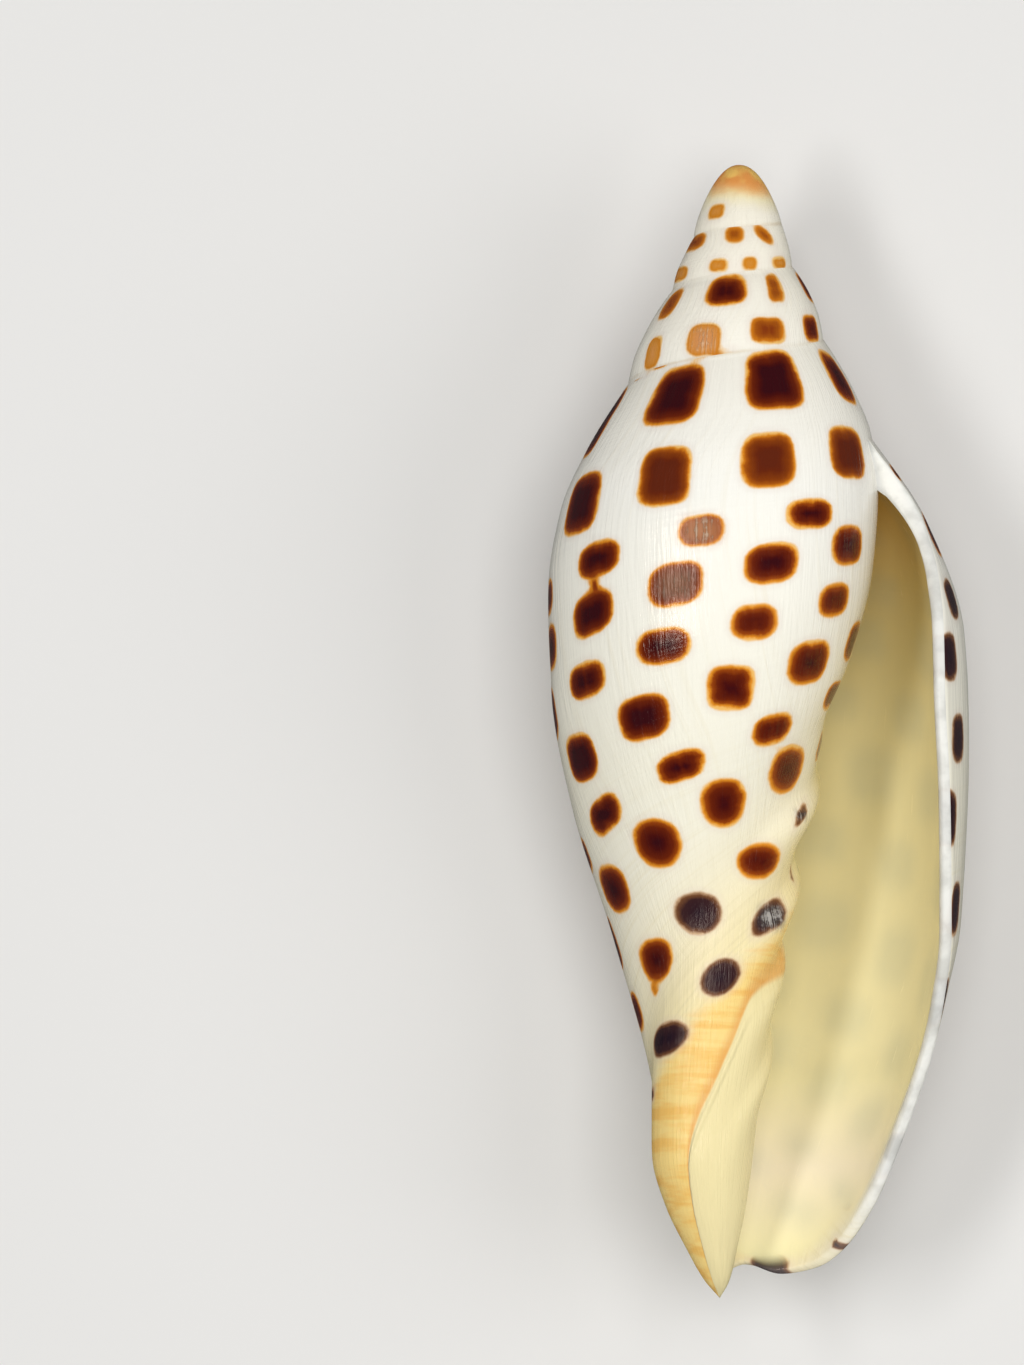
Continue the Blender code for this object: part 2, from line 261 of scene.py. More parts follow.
def outside_radius(turn, down):
    """The whorl's radius plus what it lacks at the suture, fading below it, and then the pillar's."""
    age = turn - LIP_TURN
    suture = suture_down(age)
    gap = whorl_radius(age - 360, suture) - whorl_radius(age, suture)
    fading = np.exp(-np.maximum(down - suture, 0) / (SUTURE_BLEND * size_at(age)))
    radius = whorl_radius(age, down) + gap * fading
    cap = CAP_RADIUS * (np.maximum(down, 0) / MM) ** CAP_POWER
    radius = cap + (radius - cap) * ramp(down, *CAP_ENDS)
    pillar = pillar_surface(turn, down)
    above_track = (notch_track(turn) - down) / size_at(turn - NOTCH_TURN)
    joined = larger_of(radius, pillar, PILLAR_BLEND)
    joined = pillar + (joined - pillar) * ramp(above_track, 0, NOTCH_STEP)
    return np.where(down > PILLAR[0][0] * MM, joined, radius)


def placed(turn, down, radius):
    """Polar to plain coordinates: x and z from radius and turn, y from down, and the spire's lean."""
    turn, down, radius = np.broadcast_arrays(np.radians(turn), down, radius)
    x = radius * np.cos(turn) - pillar_offset(down) * (down > PILLAR_OFFSET[0][0] * MM)
    lean = SPIRE_LEAN * np.exp(-down / SPIRE_LEAN_REACH)
    y = -down - lean * radius * np.cos(turn)
    return np.stack([x, y, radius * np.sin(turn)], axis=-1)


print("radius at the widest, in mm:", round(float(outside_radius(-80.0, 62 * MM)) / MM, 1))

# %% [markdown]
# ## The sheets of the wall
#
# The wall is made as six grids that share their edges point for point: the spire, the last whorl, the
# pillar's end, the lip's face, and the two sides of the cavity. One grid for all would crowd its rows at
# the apex. Each sheet also keeps the chart values that its colours need.

# %% Grid sizes
COLUMNS = 192
SPIRE_ROWS = 16
LIP_STEPS = 6
MIDDLE_ROWS = 104
LOWER_ROWS = 18
TIP_ROWS = 8
ALMOST = 1e-9
# Shares of the way at the lip's two ends that the cavity's edge leaves out.
GRIP_AT_TOP, GRIP_AT_NOTCH = 0.045, 0.015
# Where each band of rows ends at the lip, and what it meets on the seam one turn before.
BAND_ROWS = (SPIRE_ROWS, LIP_STEPS, MIDDLE_ROWS, LOWER_ROWS, LIP_STEPS)
BAND_ENDS = (0.10, 0.14, 0.85, 0.985, 1.0)
SEAM_ENDS = (0.0, GRIP_AT_TOP, 0.60, 1 - GRIP_AT_NOTCH, 1.0)

at_lip, on_seam = [0.0], [-1.0]
for count, lip_to, seam_to in zip(BAND_ROWS, BAND_ENDS, SEAM_ENDS):
    at_lip.extend(np.linspace(at_lip[-1], lip_to, count + 1)[1:])
    on_seam.extend(np.linspace(on_seam[-1], seam_to, count + 1)[1:])
at_lip = np.array(at_lip)[:, None]
on_seam = np.array(on_seam)[:, None]
INNER_SHARE = GRIP_AT_TOP + (1 - GRIP_AT_TOP - GRIP_AT_NOTCH) * at_lip
print("rows down the last whorl:", len(at_lip))

# %% The outer sheets


def sheet_of(points, turn, down, inner=0.0, rim=0.0):
    """A sheet: its points, and per point its turn, its distance down in mm, and how much it belongs to the
    glazed inside and to the lip's white rim."""
    values = {"turn": turn, "down": down / MM, "inner": inner, "rim": rim}
    return points, {name: np.broadcast_to(value, points.shape[:2]) + 0.0 for name, value in values.items()}


def spire():
    """Rows go in equal shares from each suture to the next, columns around the coil from the apex."""
    turns_shown = np.log(SUTURE_BELOW_POLE / POLE_ABOVE_APEX) / np.log(GROWTH) + 1
    steps = int(np.ceil(turns_shown * COLUMNS))
    age = -360 - 360 * np.arange(steps, -1, -1) / COLUMNS
    share = np.linspace(0, 1, SPIRE_ROWS + 1)[:, None]
    down = suture_down(age) * (1 - share) + suture_down(age + 360) * share
    turn = age + LIP_TURN + 0 * share
    return sheet_of(placed(turn, down, outside_radius(turn, down)), turn, down)


def last_whorl_outside():
    """Columns blend from the seam, which is the lip's line one turn before, to the lip itself."""
    u = np.linspace(0, 1, COLUMNS + 1)
    age = -360 * (1 - u)
    above = np.clip(-on_seam, 0, 1)
    seam = suture_down(-360) * above + suture_down(0) * (1 - above)
    seam = np.where(on_seam < 0, seam, seam_line(np.maximum(on_seam, 0)))
    turn = age + (1 - u) * lip_turn(np.maximum(on_seam, 0)) + u * lip_turn(at_lip)
    down = (1 - u) * seam + u * lip_down(at_lip)
    down = down + (suture_down(age) - down[:1]) * (1 - at_lip) ** 3
    return sheet_of(placed(turn, down, outside_radius(turn, down)), turn, down)


def tip():
    """Rings around the pillar below the notch that close on one point."""
    turn = NOTCH_TURN - 360 * (1 - np.linspace(0, 1, COLUMNS + 1))
    down = np.linspace(NOTCH_DOWN, LENGTH, TIP_ROWS + 1)[:, None] + 0 * turn
    radius = pillar_surface(turn, down) * (down < LENGTH - ALMOST)
    return sheet_of(placed(turn + 0 * down, down, radius), turn, down)


outer_sheets = [spire(), last_whorl_outside(), tip()]
print("points per outer sheet:", [points[..., 0].size for points, _ in outer_sheets])

# %% [markdown]
# ## The cavity and the lip
#
# Behind the opening the last whorl is hollow. Its cavity is the lip's line carried back as the shell grew:
# the outer side lies under the wall by the wall's thickness, and the inner side is the whorl before it. A
# rounded strip joins the two at the lip. A Solidify modifier would thicken the wall, but not tell the
# whorl that it grips from the one that it forms.

# %% The cavity
CAVITY_COLUMNS = 104
CAVITY_TURN = 290.0
CAVITY_SPACING = 1.2  # above 1, the columns lie closer together near the lip
WALL_AT_LIP = 1.25 * MM
WALL_INSIDE = 1.8 * MM
WALL_THICKENS_OVER = 90.0
THINNER_AT_NOTCH = 0.35
LEAST_CAVITY = 0.5 * MM
CAVITY_OPENS_OVER = 25.0
ROUND_TOP, ROUND_NOTCH = 0.05, 0.03  # shares of the way over which the cavity's two ends are rounded
# The white rim and the glaze: shares of the way over which they end, and degrees behind the lip.
RIM_LEFT = 0.1
RIM_THINS = (0.64, 0.73)
RIM_DEPTH = 4.0
GLAZE_ENDS = (0.68, 0.73)
GLAZE_STARTS = (1.0, 11.0)
INNER_GLAZE_STARTS = (10.0, 42.0)

cavity_ages = -CAVITY_TURN * np.linspace(0, 1, CAVITY_COLUMNS + 1) ** CAVITY_SPACING


def cavity_radii(share, age, line=lip_down):
    """The lip's line carried back as the shell grew, with the radii of the cavity's two sides there: the
    outside less the wall's thickness, and the outside one turn before."""
    top, top_now = suture_down(age), suture_down(0)
    bottom = (NOTCH_DOWN + POLE_ABOVE_APEX) * size_at(age) - POLE_ABOVE_APEX
    turn = age + lip_turn(share)
    down = top + (bottom - top) * (line(share) - top_now) / (NOTCH_DOWN - top_now)
    outside = outside_radius(turn, down)
    wall = WALL_AT_LIP + (WALL_INSIDE - WALL_AT_LIP) * ramp(-age, 0, WALL_THICKENS_OVER)
    wall = wall * (1 - THINNER_AT_NOTCH * ramp(share, 0.85, 1.0))
    inner = outside_radius(turn - 360, down)
    lacking = np.maximum(inner + wall + LEAST_CAVITY - outside, 0)
    inner = inner - ramp(-age, 0, CAVITY_OPENS_OVER) * lacking
    from_end = np.minimum((share - GRIP_AT_TOP) / ROUND_TOP, (1 - GRIP_AT_NOTCH - share) / ROUND_NOTCH)
    opened = np.sqrt(1 - (1 - np.clip(from_end, 0, 1)) ** 2)
    outer = inner + np.maximum(outside - wall - inner, LEAST_CAVITY) * opened
    return turn, down, inner, outer


def rim_share(share):
    """How much of the lip's white strip is left: it thins out towards the notch."""
    return 1 - (1 - RIM_LEFT) * ramp(share, *RIM_THINS)


def cavity_outer_side():
    """The inner face of the last whorl's wall, from the lip inwards."""
    turn, down, _, outer = cavity_radii(INNER_SHARE, cavity_ages)
    rim = (1 - ramp(-cavity_ages, 0, RIM_DEPTH)) * rim_share(INNER_SHARE)
    glazed = 1 - ramp(INNER_SHARE, *GLAZE_ENDS) * (1 - ramp(-cavity_ages, *GLAZE_STARTS))
    return sheet_of(placed(turn, down, outer), turn, down, glazed, rim)


def cavity_inner_side():
    """The whorl before it and the pillar, as the cavity's other side."""
    share = on_seam[SPIRE_ROWS + LIP_STEPS : -LIP_STEPS]
    turn, down, inner, _ = cavity_radii(share, cavity_ages, seam_line)
    glazed = ramp(-cavity_ages, *INNER_GLAZE_STARTS) + 0 * share
    return sheet_of(placed(turn, down, inner), turn - 360, down, glazed)


cavity_sides = [cavity_outer_side(), cavity_inner_side()]
print("points per side of the cavity:", [points[..., 0].size for points, _ in cavity_sides])

# %% The lip's face
LIP_BULGE = 0.45 * MM
BULGE_TURNS_DOWN = (0.6, 0.75)  # shares of the way over which the bulge turns from sideways to downwards
LEAST_RADIUS = 5 * MM


def lip_face():
    """A strip from the outer to the inner edge of the lip that bulges by half a sine wave."""
    over = np.linspace(0, 1, LIP_STEPS + 1)
    share = at_lip * (1 - over) + INNER_SHARE * over
    edge_radius = outside_radius(lip_turn(at_lip), lip_down(at_lip))
    inner_radius = cavity_radii(INNER_SHARE, np.zeros(1))[3]
    radius = edge_radius * (1 - over) + inner_radius * over
    bulge = LIP_BULGE * np.sin(np.pi * over) * np.sin(np.pi * at_lip) ** 0.5
    under = ramp(at_lip, *BULGE_TURNS_DOWN)
    turn = lip_turn(share) + np.degrees((1 - under) * bulge / np.maximum(radius, LEAST_RADIUS))
    down = lip_down(share) + under * bulge
    ends = (at_lip == 0) | (at_lip == 1)
    radius = np.where(ends, outside_radius(lip_turn(share) - 360, down), radius)
    return sheet_of(placed(turn, down, radius), turn, down, rim=rim_share(at_lip) + 0 * over)


sheets = outer_sheets + [lip_face()] + cavity_sides
print("points in all six sheets:", sum(points[..., 0].size for points, _ in sheets))

# %% [markdown]
# ## The spots
#
# The animal laid the spots down in spiral rows while it built the wall. Each is a rounded square a few
# millimetres across. They are painted by distance: every point of the wall stores how far it lies from
# the nearest spot's edge, negative inside, and the material turns that distance into a dark middle, a
# brown band and an orange fringe. A distance stays crisp at any zoom, where painted points would blur.
#
# A spot is given by its turn, its distance below the apex in mm, its width in degrees, its height in mm,
# how far it falls in mm over that width, and where it needs one, the squareness of its corners: 2 is an
# ellipse, and more is squarer.

# %% Where the spots lie
# Dark red-brown, on most of the wall.
MAROON = [
    (-44, 9.7, 39, 2.5, 0.9), (-349, 11.6, 24, 3, 0.3), (-259.6, 12.7, 33, 3.2, 0.5, 3),
    (-328, 15.8, 21, 2.8, 0.2, 3.2), (-130.6, 15.8, 23.5, 3.8, 0.3, 3), (-78.5, 16.4, 31, 4.3, 0.4, 3),
    (-28, 18.4, 24, 4.5, 1, 3), (-335, 20.4, 22, 5.2, -0.4, 3), (-288, 21.4, 30, 6, 0.8, 4),
    (-298.5, 34.3, 21, 3, 0.5), (-319.2, 36.9, 20.5, 3.9, 0.5), (-258, 36.3, 16.5, 3.1, 0.5),
    (-283.5, 39.2, 21.5, 4, 0.9), (-249, 41.4, 20.4, 4.3, 0.9), (-313.5, 42.2, 18.5, 3.3, 0.7),
    (-277.8, 44.8, 18.5, 3.5, 0.5), (-305, 48.2, 24, 4.3, 0.8), (-269.7, 51, 20, 4.3, 0.3, 3.4),
    (-339.5, 45.6, 20, 3.9, 0.5), (-337, 50.8, 26, 2.9, 0.5), (-352, 55.4, 14, 3, 0.3),
    (-239.6, 23.1, 28, 6.1, 0.6, 3.6), (-205.3, 33.3, 22.5, 6.1, 0.5, 3.4), (-218.3, 38.8, 20.3, 3.5, 1),
    (-215, 43.9, 21, 4.3, 1.5), (-244, 47.2, 21, 3.5, 0.7), (-209.5, 50.1, 21, 3.5, 1),
    (-191, 25.2, 18, 6.9, 0.3), (-180.5, 41.7, 15, 3.5, 0.5), (-182.5, 46.5, 16, 4.4, 0.5),
    (-174, 52.7, 17, 5, 0.6), (-291.5, 54.6, 23, 3.1, 1, 2.4), (-311.4, 58.1, 33.5, 4.7, 0.2, 2.3),
    (-268.6, 61.6, 27.5, 4.7, 0.3, 2.3), (-300, 66.8, 40, 3.6, 0.2, 2), (-247.5, 58.3, 23, 2.9, 1.4),
    (-233.8, 53.8, 23, 4.3, 1, 2.8), (-228.5, 65.4, 29, 4.7, 0.3, 2.2), (-196.5, 57.2, 23.5, 4.6, 0.6),
    (-201.7, 62.6, 25, 3.2, 2), (-187, 69.4, 28, 4.7, 0.5, 2.3), (-207, 76.2, 37, 4.2, 0.8, 2.2),
    (-198, 79, 12, 1.2, 0.2, 2), (-166, 66, 15, 3.3, 0.6), (-159, 74.2, 17, 5, 0.6),
    (-160, 80.8, 22, 3.8, 0.6), (-158.5, 27.3, 24, 7.9, 0.2, 4), (-114.3, 26.2, 30, 5, 0.3),
    (-115.8, 30.3, 26, 4.5, 0.3), (-76, 27.2, 20, 4.8, 0.5), (-75.5, 31.6, 20.8, 4.3, 0.5),
    (-41, 28.6, 22, 5, 1.6), (-42, 33, 19, 4.3, 1.2), (-13, 30, 13, 4.5, 1.5), (-11.5, 35.2, 13, 4.4, 1),
    (-141.6, 36, 19.6, 3.8, 0.6), (-142.2, 39.2, 18.4, 4.4, 0.6), (-104.2, 36.6, 22.3, 3.2, 0.3),
    (-108.2, 40.3, 21, 4.4, 0.6), (-71, 38, 18, 3.4, 0.5), (-81, 41.9, 19.5, 4.8, 0.5),
    (-40.8, 39.3, 17.8, 3.7, 0.8), (-48, 43.7, 17.8, 4.8, 0.8), (-13, 41.4, 14, 3.5, 1.1),
    (-148.5, 44.4, 18.6, 3.9, 0.4), (-20.3, 45.9, 13.8, 4.9, 0.7), (-114, 46.1, 20.8, 3.8, 0.9),
    (-88.2, 47.8, 19.4, 4.3, 0.3), (-154.5, 49.5, 19, 4.4, 1.2), (-59, 49.5, 17.2, 3.9, 0.8),
    (-123.6, 51.3, 20.6, 4.8, 0.8), (-30.5, 51.6, 15.3, 4.7, 0.9), (-100.7, 52.9, 16, 5.1, 0.4, 4),
    (-4.5, 54.1, 15, 4.6, 0.6), (-72.3, 55.1, 17.5, 5.6, 0.8, 3), (-144.6, 56.3, 17.1, 4.1, 0.4),
    (-44.5, 57, 17.5, 5.9, 0.8), (-116.3, 58.7, 14.2, 4, 0.6), (-18.7, 59.5, 14.9, 5.5, 0.7),
    (-92.5, 60.8, 23, 4.2, 1.8), (-60.7, 63, 17.3, 4.4, 0.7, 3.2), (-135.8, 63.9, 20.4, 5.2, 0.6),
    (-33.2, 65.7, 15.9, 4.8, 0.8), (-85, 68.6, 21.7, 5.8, 0.5), (-8.5, 68.5, 13.3, 5.2, 0.4),
    (-130.3, 70.8, 16, 3.8, 1), (-55.3, 71.2, 18.4, 5.8, 0.5), (-109.5, 72.8, 23.5, 3.4, 1.8),
    (-27.9, 74.6, 17, 5.9, 0.8), (-73.3, 76.8, 19.4, 3.9, 1.2), (-5, 77.5, 15.5, 5.9, 0.5),
    (-99, 79.3, 23, 4, 1.9), (-41.5, 80.4, 17.5, 4.2, 1.4), (-113, 81.9, 14, 2.4, 2.4),
    (-67, 83.2, 19.6, 4.2, 1.2), (-14.5, 84.2, 14.8, 4.6, 0.9), (-121.5, 85, 9, 3, 0.5),
    (-40.8, 86.9, 16.3, 4.2, 0.4), (7, 35, 15, 4.2, 1.6), (10, 29.3, 9, 1.6, 0.5),
    (-217, 41.3, 4, 1.5, 0, 2),
]
# Nearly black, near the pillar and on the lip's edge.
INK = [
    (-251, 71.9, 42, 4.1, 0, 2.1), (-274, 77.9, 40, 3.6, 1, 2), (-217, 83.7, 62, 3.5, 1, 1.9),
    (-190, 88.8, 17, 1.4, 0.3, 2), (-81.5, 87, 18, 2.3, 1.9), (-97.5, 89.3, 22.5, 2.8, 1.8),
    (-18.2, 90.6, 17, 4.5, 0.3, 2.2), (-43, 92.9, 15.7, 2.7, 1.3), (-121, 93.9, 36, 3.2, 1.6),
    (-64.5, 94.2, 20.2, 2.9, 1.2), (3.5, 94.2, 17, 4.4, 0.3), (-15.8, 97.7, 15, 2.4, 1.9),
    (-86, 99, 31, 2.9, 1.3), (-36.3, 99.2, 22, 2.9, 1.4), (-46, 104.6, 24, 3, 0.2, 2.2),
    (17.5, 41.6, 10, 3.9, 0.8), (26.7, 47.4, 10, 4.8, 0.5, 3), (22.2, 55, 9.5, 4.8, 0.5, 3),
    (26.7, 62.7, 8, 5.3, -0.4, 4), (18.8, 71.1, 8.5, 5.3, 0.4), (17, 80.3, 10, 5.6, 0.4),
    (-331, 62.2, 15, 1.3, 2.2), (-316, 72, 32, 3, 2.2), (-11, 102.6, 4.4, 1.2, 0.5, 2),
    (-352, 67.5, 6, 1.8, 0, 2),
]
# Brown, mostly on the spire, with the thin lines along the sutures.
BROWN = [
    (-111.5, 65.6, 9, 3.5, 0.2, 2), (-125.5, 75.5, 3, 1, 0), (-300, 6.9, 27, 1.7, -1, 2.3),
    (-263, 7.1, 24.5, 1.75, 0.1), (-206, 7.85, 42, 1.8, 0.4), (-168, 8.7, 28, 2.2, -0.8),
    (-300, 12.2, 15.5, 2.9, 0.4, 3.4), (-210.2, 13.9, 20, 3.1, 0.6), (-289, 16.5, 24.6, 2.7, 0.2, 3.6),
    (-136.8, 5.6, 22, 1.8, -0.9), (-36, 5.7, 32, 1.9, 0.2, 2.3), (-110, 8.7, 37, 2.1, 0.2, 2.4),
    (-141.5, 11.9, 20, 1.9, 0.1), (-10.5, 15.1, 24, 1.6, 0.2), (-159.4, 20.8, 26, 3.6, 0.4, 3.4),
    (-116, 21, 20, 3.6, 0.2, 3.4), (-38, 23.4, 21.5, 3.9, -0.2, 3), (-262, 18.75, 14, 0.42, 0.5),
    (-246, 19.6, 12, 0.3, 0.6), (-213, 20.6, 26, 0.5, 1.2), (-102, 24.7, 15, 0.4, 0.3),
    (-45, 26, 30, 0.4, 0.6),
]
# Orange, where the pigment is thin.
ORANGE = [
    (-233, 4.9, 28, 1.5, 0.3, 3.2), (-317.6, 9.5, 24, 1.3, 0.2), (-280.2, 9.9, 16, 1.4, 0.1),
    (-248.6, 10.2, 20, 1.4, 0.1, 3.2), (-197, 10.9, 33, 1.6, 0.1), (-248.5, 17.6, 21.7, 3.2, 0.2, 3.2),
    (-212.5, 18.7, 14.5, 3.2, 0.3, 3.4), (-89.8, 5.3, 25, 1.9, -0.5, 3.2),
    (-102, 12.2, 23, 1.9, 0.2, 3.2), (-58.8, 13, 22, 2.3, 0.3), (-76, 21.8, 22.5, 4, 0.5, 3.6),
]
# Between maroon and brown.
RUSSET = [
    (-320.5, 28, 23.5, 5.2, 0.2, 3.2), (-282, 29.4, 22, 5.5, 0.6, 3.2), (-243.3, 31.1, 20.5, 5.9, 0.3, 4),
]
TONES = [(0.0, MAROON), (-1.0, INK), (0.2, RUSSET), (0.5, BROWN), (1.0, ORANGE)]
COMMON_CORNER = 2.7


def on_its_whorl(turn, down):
    """The turn lowered by whole turns until the whorl there reaches as far up as the spot."""
    while suture_down(turn - LIP_TURN) / MM > down:
        turn -= 360
    return turn


spots = []
for tone, places in TONES:
    for turn, down, width, height, fall, *corner in places:
        squareness = corner[0] if corner else COMMON_CORNER
        spots.append((on_its_whorl(turn, down), down, width, height, fall, squareness, tone))
print(len(spots), "spots")

# %% Distance from the spots
TOUCH = 0.3  # mm over which two spots that meet run into one
FARTHEST = 6.0  # mm
TINY = 1e-6


def painted(turn, down):
    """Distance in mm from the nearest spot's edge, and its tone. Each spot is a super-ellipse: along the ray
    from its middle, the distance is the ray's length less the spot's reach, and spots are joined by minus
    the log of the sum of the exponentials of minus the distances."""
    total = np.zeros(turn.shape)
    toned = np.zeros(turn.shape)
    for at, low, width, height, fall, corner, tone in spots:
        radius = float(outside_radius(at, low * MM)) / MM
        over = radius * np.radians(turn - at)
        under = down - low - fall * (turn - at) / width
        half_width = radius * np.radians(width) / 2
        reach = np.abs(over / half_width) ** corner + np.abs(under / (height / 2)) ** corner
        ray = np.hypot(over, under) + TINY
        distance = ray - ray / np.maximum(reach ** (1 / corner), TINY)
        weight = np.exp(-np.clip(distance, -FARTHEST, FARTHEST) / TOUCH)
        total += weight
        toned += weight * tone
    return -TOUCH * np.log(total), toned / total


for _, values in sheets:
    values["spot"], values["tone"] = painted(values["turn"], values["down"])
print("share of the last whorl under spots:", round(float((sheets[1][1]["spot"] < 0).mean()), 2))

# %% [markdown]
# ## Seams, bands and the scar
#
# More distances follow the same idea: from the suture, from the orange band that the notch has left at
# the pillar, from the glaze over the pillar, and from a scar on the back where the lip was once broken. A
# few spots are worn or cracked, and two more are paled as a painted highlight where the main light's gloss
# falls; each such place is a soft patch of its own.
#
# Growth lines run along old lips, so a point also needs the growth angle at which the lip stood there.

# %% Other distances along the wall
# Worn places, the last two being spots paled as a painted highlight under the main light: turn and
# distance down of the middle, width in degrees, height in mm, and how worn or how much paled.
WORN_AND_SHEEN = [
    (-76, 21.8, 20, 3.6, 1), (-248.5, 17.6, 17, 2.5, 0.7), (-89.8, 5.3, 22, 1.7, 1),
    (-331, 62.2, 10, 0.8, 1), (-318, 72, 24, 2.2, 1), (-258, 36.3, 14, 2.4, 0.8),
    (-249, 41.4, 14, 3, 0.35),
]
# The glaze's upper edge on the pillar, as turn and distance down, and the scar, as distance down and turn.
GLAZE_EDGE = [
    (-460, 74), (-345, 77), (-310, 79), (-290, 84), (-275, 88), (-262, 91), (-254, 94), (-250, 99),
    (-246, 112),
]
SCAR = [
    (38.2, -91), (39.5, -95), (42, -98.8), (45.2, -102.4), (47.5, -104.8), (50.2, -106.4), (52.7, -108),
    (56.8, -108.9), (61, -111.1), (63.5, -112.8), (67.5, -117.4), (69.7, -121), (71.1, -122.8),
    (75, -124.3), (85.5, -127),
]
SCAR_STARTS, SCAR_ENDS = (37.0, 40.0), (83.0, 87.0)
SCAR_RADIUS = 22.0  # mm
BAND_TURN, BAND_SHARE = -250.0, 0.77
NO_SUTURE_BELOW = 99.0  # mm
LIP_SAMPLES, ROUNDS, KEPT = 80, 16, 0.4

glaze_edge = curve_through(GLAZE_EDGE)
scar_turn = curve_through(SCAR)


def laid_at(turn, down):
    """The growth angle at which the lip stood at a point, and how far down the lip that point's spiral
    runs, in mm. The lip's line of that age has to pass the point, so its turn there is taken off, over
    and over, and each time a share of the last answer is kept."""
    share = np.linspace(0, ARCH[0], LIP_SAMPLES)
    fall = (lip_down(share) - suture_down(0)) / (NOTCH_DOWN - suture_down(0))
    age = turn - LIP_TURN
    for _ in range(ROUNDS):
        top = suture_down(age)
        bottom = (NOTCH_DOWN + POLE_ABOVE_APEX) * size_at(age) - POLE_ABOVE_APEX
        there = np.interp((down * MM - top) / np.maximum(bottom - top, MM), fall, share)
        age = KEPT * age + (1 - KEPT) * (turn - lip_turn(there))
    return age, (down * MM + POLE_ABOVE_APEX) / size_at(turn - LIP_TURN) / MM


def orange_edge(turn):
    """Distance down in mm where the orange band begins. The growth ratio carries it along, as the notch."""
    return (BAND_SHARE * LENGTH * size_at(turn - BAND_TURN)) / MM - POLE_ABOVE_APEX / MM


def worn_and_sheen_places(turn, down):
    """The largest of soft patches: each is its strength times exp(-x^4 - y^4) from its own middle."""
    worn = np.zeros(turn.shape)
    for at, low, width, tall, much in WORN_AND_SHEEN:
        over = np.clip((turn - on_its_whorl(at, low)) / (width / 2), -9, 9)
        under = np.clip((down - low) / (tall / 2), -9, 9)
        worn = np.maximum(worn, much * np.exp(-(over**4) - under**4))
    return worn


for points, values in sheets:
    turn, down = values["turn"], values["down"]
    age = turn - LIP_TURN
    above = down - suture_down(age) / MM
    below = np.where(age < -360, suture_down(age + 360) / MM - down, NO_SUTURE_BELOW)
    values["seam"] = np.minimum(np.abs(above), np.abs(below))
    values["band"] = down - orange_edge(turn)
    values["grown"], values["level"] = laid_at(turn, down)
    values["glaze"] = down - glaze_edge(turn)
    values["scar"] = np.radians(turn - scar_turn(down)) * SCAR_RADIUS
    values["scarred"] = ramp(down, *SCAR_STARTS) * (1 - ramp(down, *SCAR_ENDS)) * (age > -360)
    # Worn places, and the painted highlight on two spots under the main light.
    values["worn"] = worn_and_sheen_places(turn, down)
print("values kept per point:", ", ".join(values))

# %% [markdown]
# ## One closed mesh
#
# The six grids go into one mesh. Their values are stored per face corner, because they jump where two
# sheets meet. Welding the shared edges then closes the wall, and the cavity's far end is zipped up.

# %% Faces between points


def grid_faces(number):
    """Quads between the points of a grid, from the grid of their numbers."""
    corners = (number[:-1, :-1], number[1:, :-1], number[1:, 1:], number[:-1, 1:])
    return np.stack(corners, axis=-1).reshape(-1, 4).tolist()


def zipped(near, far):
    """Triangles between two rows of point numbers of unlike length, both running the same way."""
    faces = []
    i = j = 0
    while i < len(near) - 1 or j < len(far) - 1:
        near_is_behind = (i + 1) * (len(far) - 1) <= (j + 1) * (len(near) - 1)
        if j == len(far) - 1 or (i < len(near) - 1 and near_is_behind):
            faces.append((near[i], near[i + 1], far[j]))
            i += 1
        else:
            faces.append((near[i], far[j + 1], far[j]))
            j += 1
    return faces


print("three points zipped to two:", zipped([0, 1, 2], [3, 4]))

# %% Set down to rest
FLAT_DEPTH = 0.3 * MM
REST_PITCH = -3.0


def pitched(points):
    """The points turned about the x axis as the shell settles on its back."""
    pitch = np.radians(REST_PITCH)
    about_x = np.array([[1, 0, 0], [0, np.cos(pitch), -np.sin(pitch)], [0, np.sin(pitch), np.cos(pitch)]])
    return points @ about_x.T


all_points = np.concatenate([points.reshape(-1, 3) for points, _ in sheets])
every_point = pitched(all_points)
lowest = every_point[:, 2].min() + FLAT_DEPTH
middle = (every_point[:, :2].min(axis=0) + every_point[:, :2].max(axis=0)) / 2


def resting(points):
    """The points turned, cut off flat where the shell rests, set down on z = 0 and centred."""
    points = pitched(points)
    points[:, 2] = np.maximum(points[:, 2], lowest) - lowest
    points[:, :2] -= middle
    return points


print("the shell is", np.ptp(resting(all_points), axis=0).round(4) / MM, "mm in x, y and z")

# %% [markdown]
# ## A flat map of the wall
#
# A finish that is baked for other programs needs a flat map, on which no two faces share a place. The
# sheets are grids already, so each is given a rectangle of its own. Unwrapping by hand would fold the coil.

# %% The flat map
# Where each sheet lies, as left, bottom, right and top. The outer sheets get the most room.
MAP_PLACES = [
    (0.005, 0.005, 0.995, 0.15), (0.005, 0.16, 0.60, 0.995), (0.64, 0.16, 0.90, 0.22),
    (0.605, 0.16, 0.63, 0.995), (0.64, 0.62, 0.995, 0.995), (0.64, 0.23, 0.995, 0.61),
]
CAP_PLACE, CAP_SCALE = np.array([0.92, 0.16]), 0.05  # for the zipped end of the cavity


def flat_places():
    """Each sheet's points spread evenly over its rectangle of the map, columns across and rows down."""
    places = []
    for (points, _), (left, bottom, right, top) in zip(sheets, MAP_PLACES):
        rows, columns = points.shape[:2]
        over = np.broadcast_to(np.linspace(left, right, columns), (rows, columns))
        under = np.broadcast_to(np.linspace(top, bottom, rows)[:, None], (rows, columns))
        places.append(np.stack([over, under], axis=-1).reshape(-1, 2))
    return np.concatenate(places)


flat = flat_places()
print("places on the flat map run from", flat.min(), "to", flat.max())

# %% Make the piece
WELD = 0.002 * MM


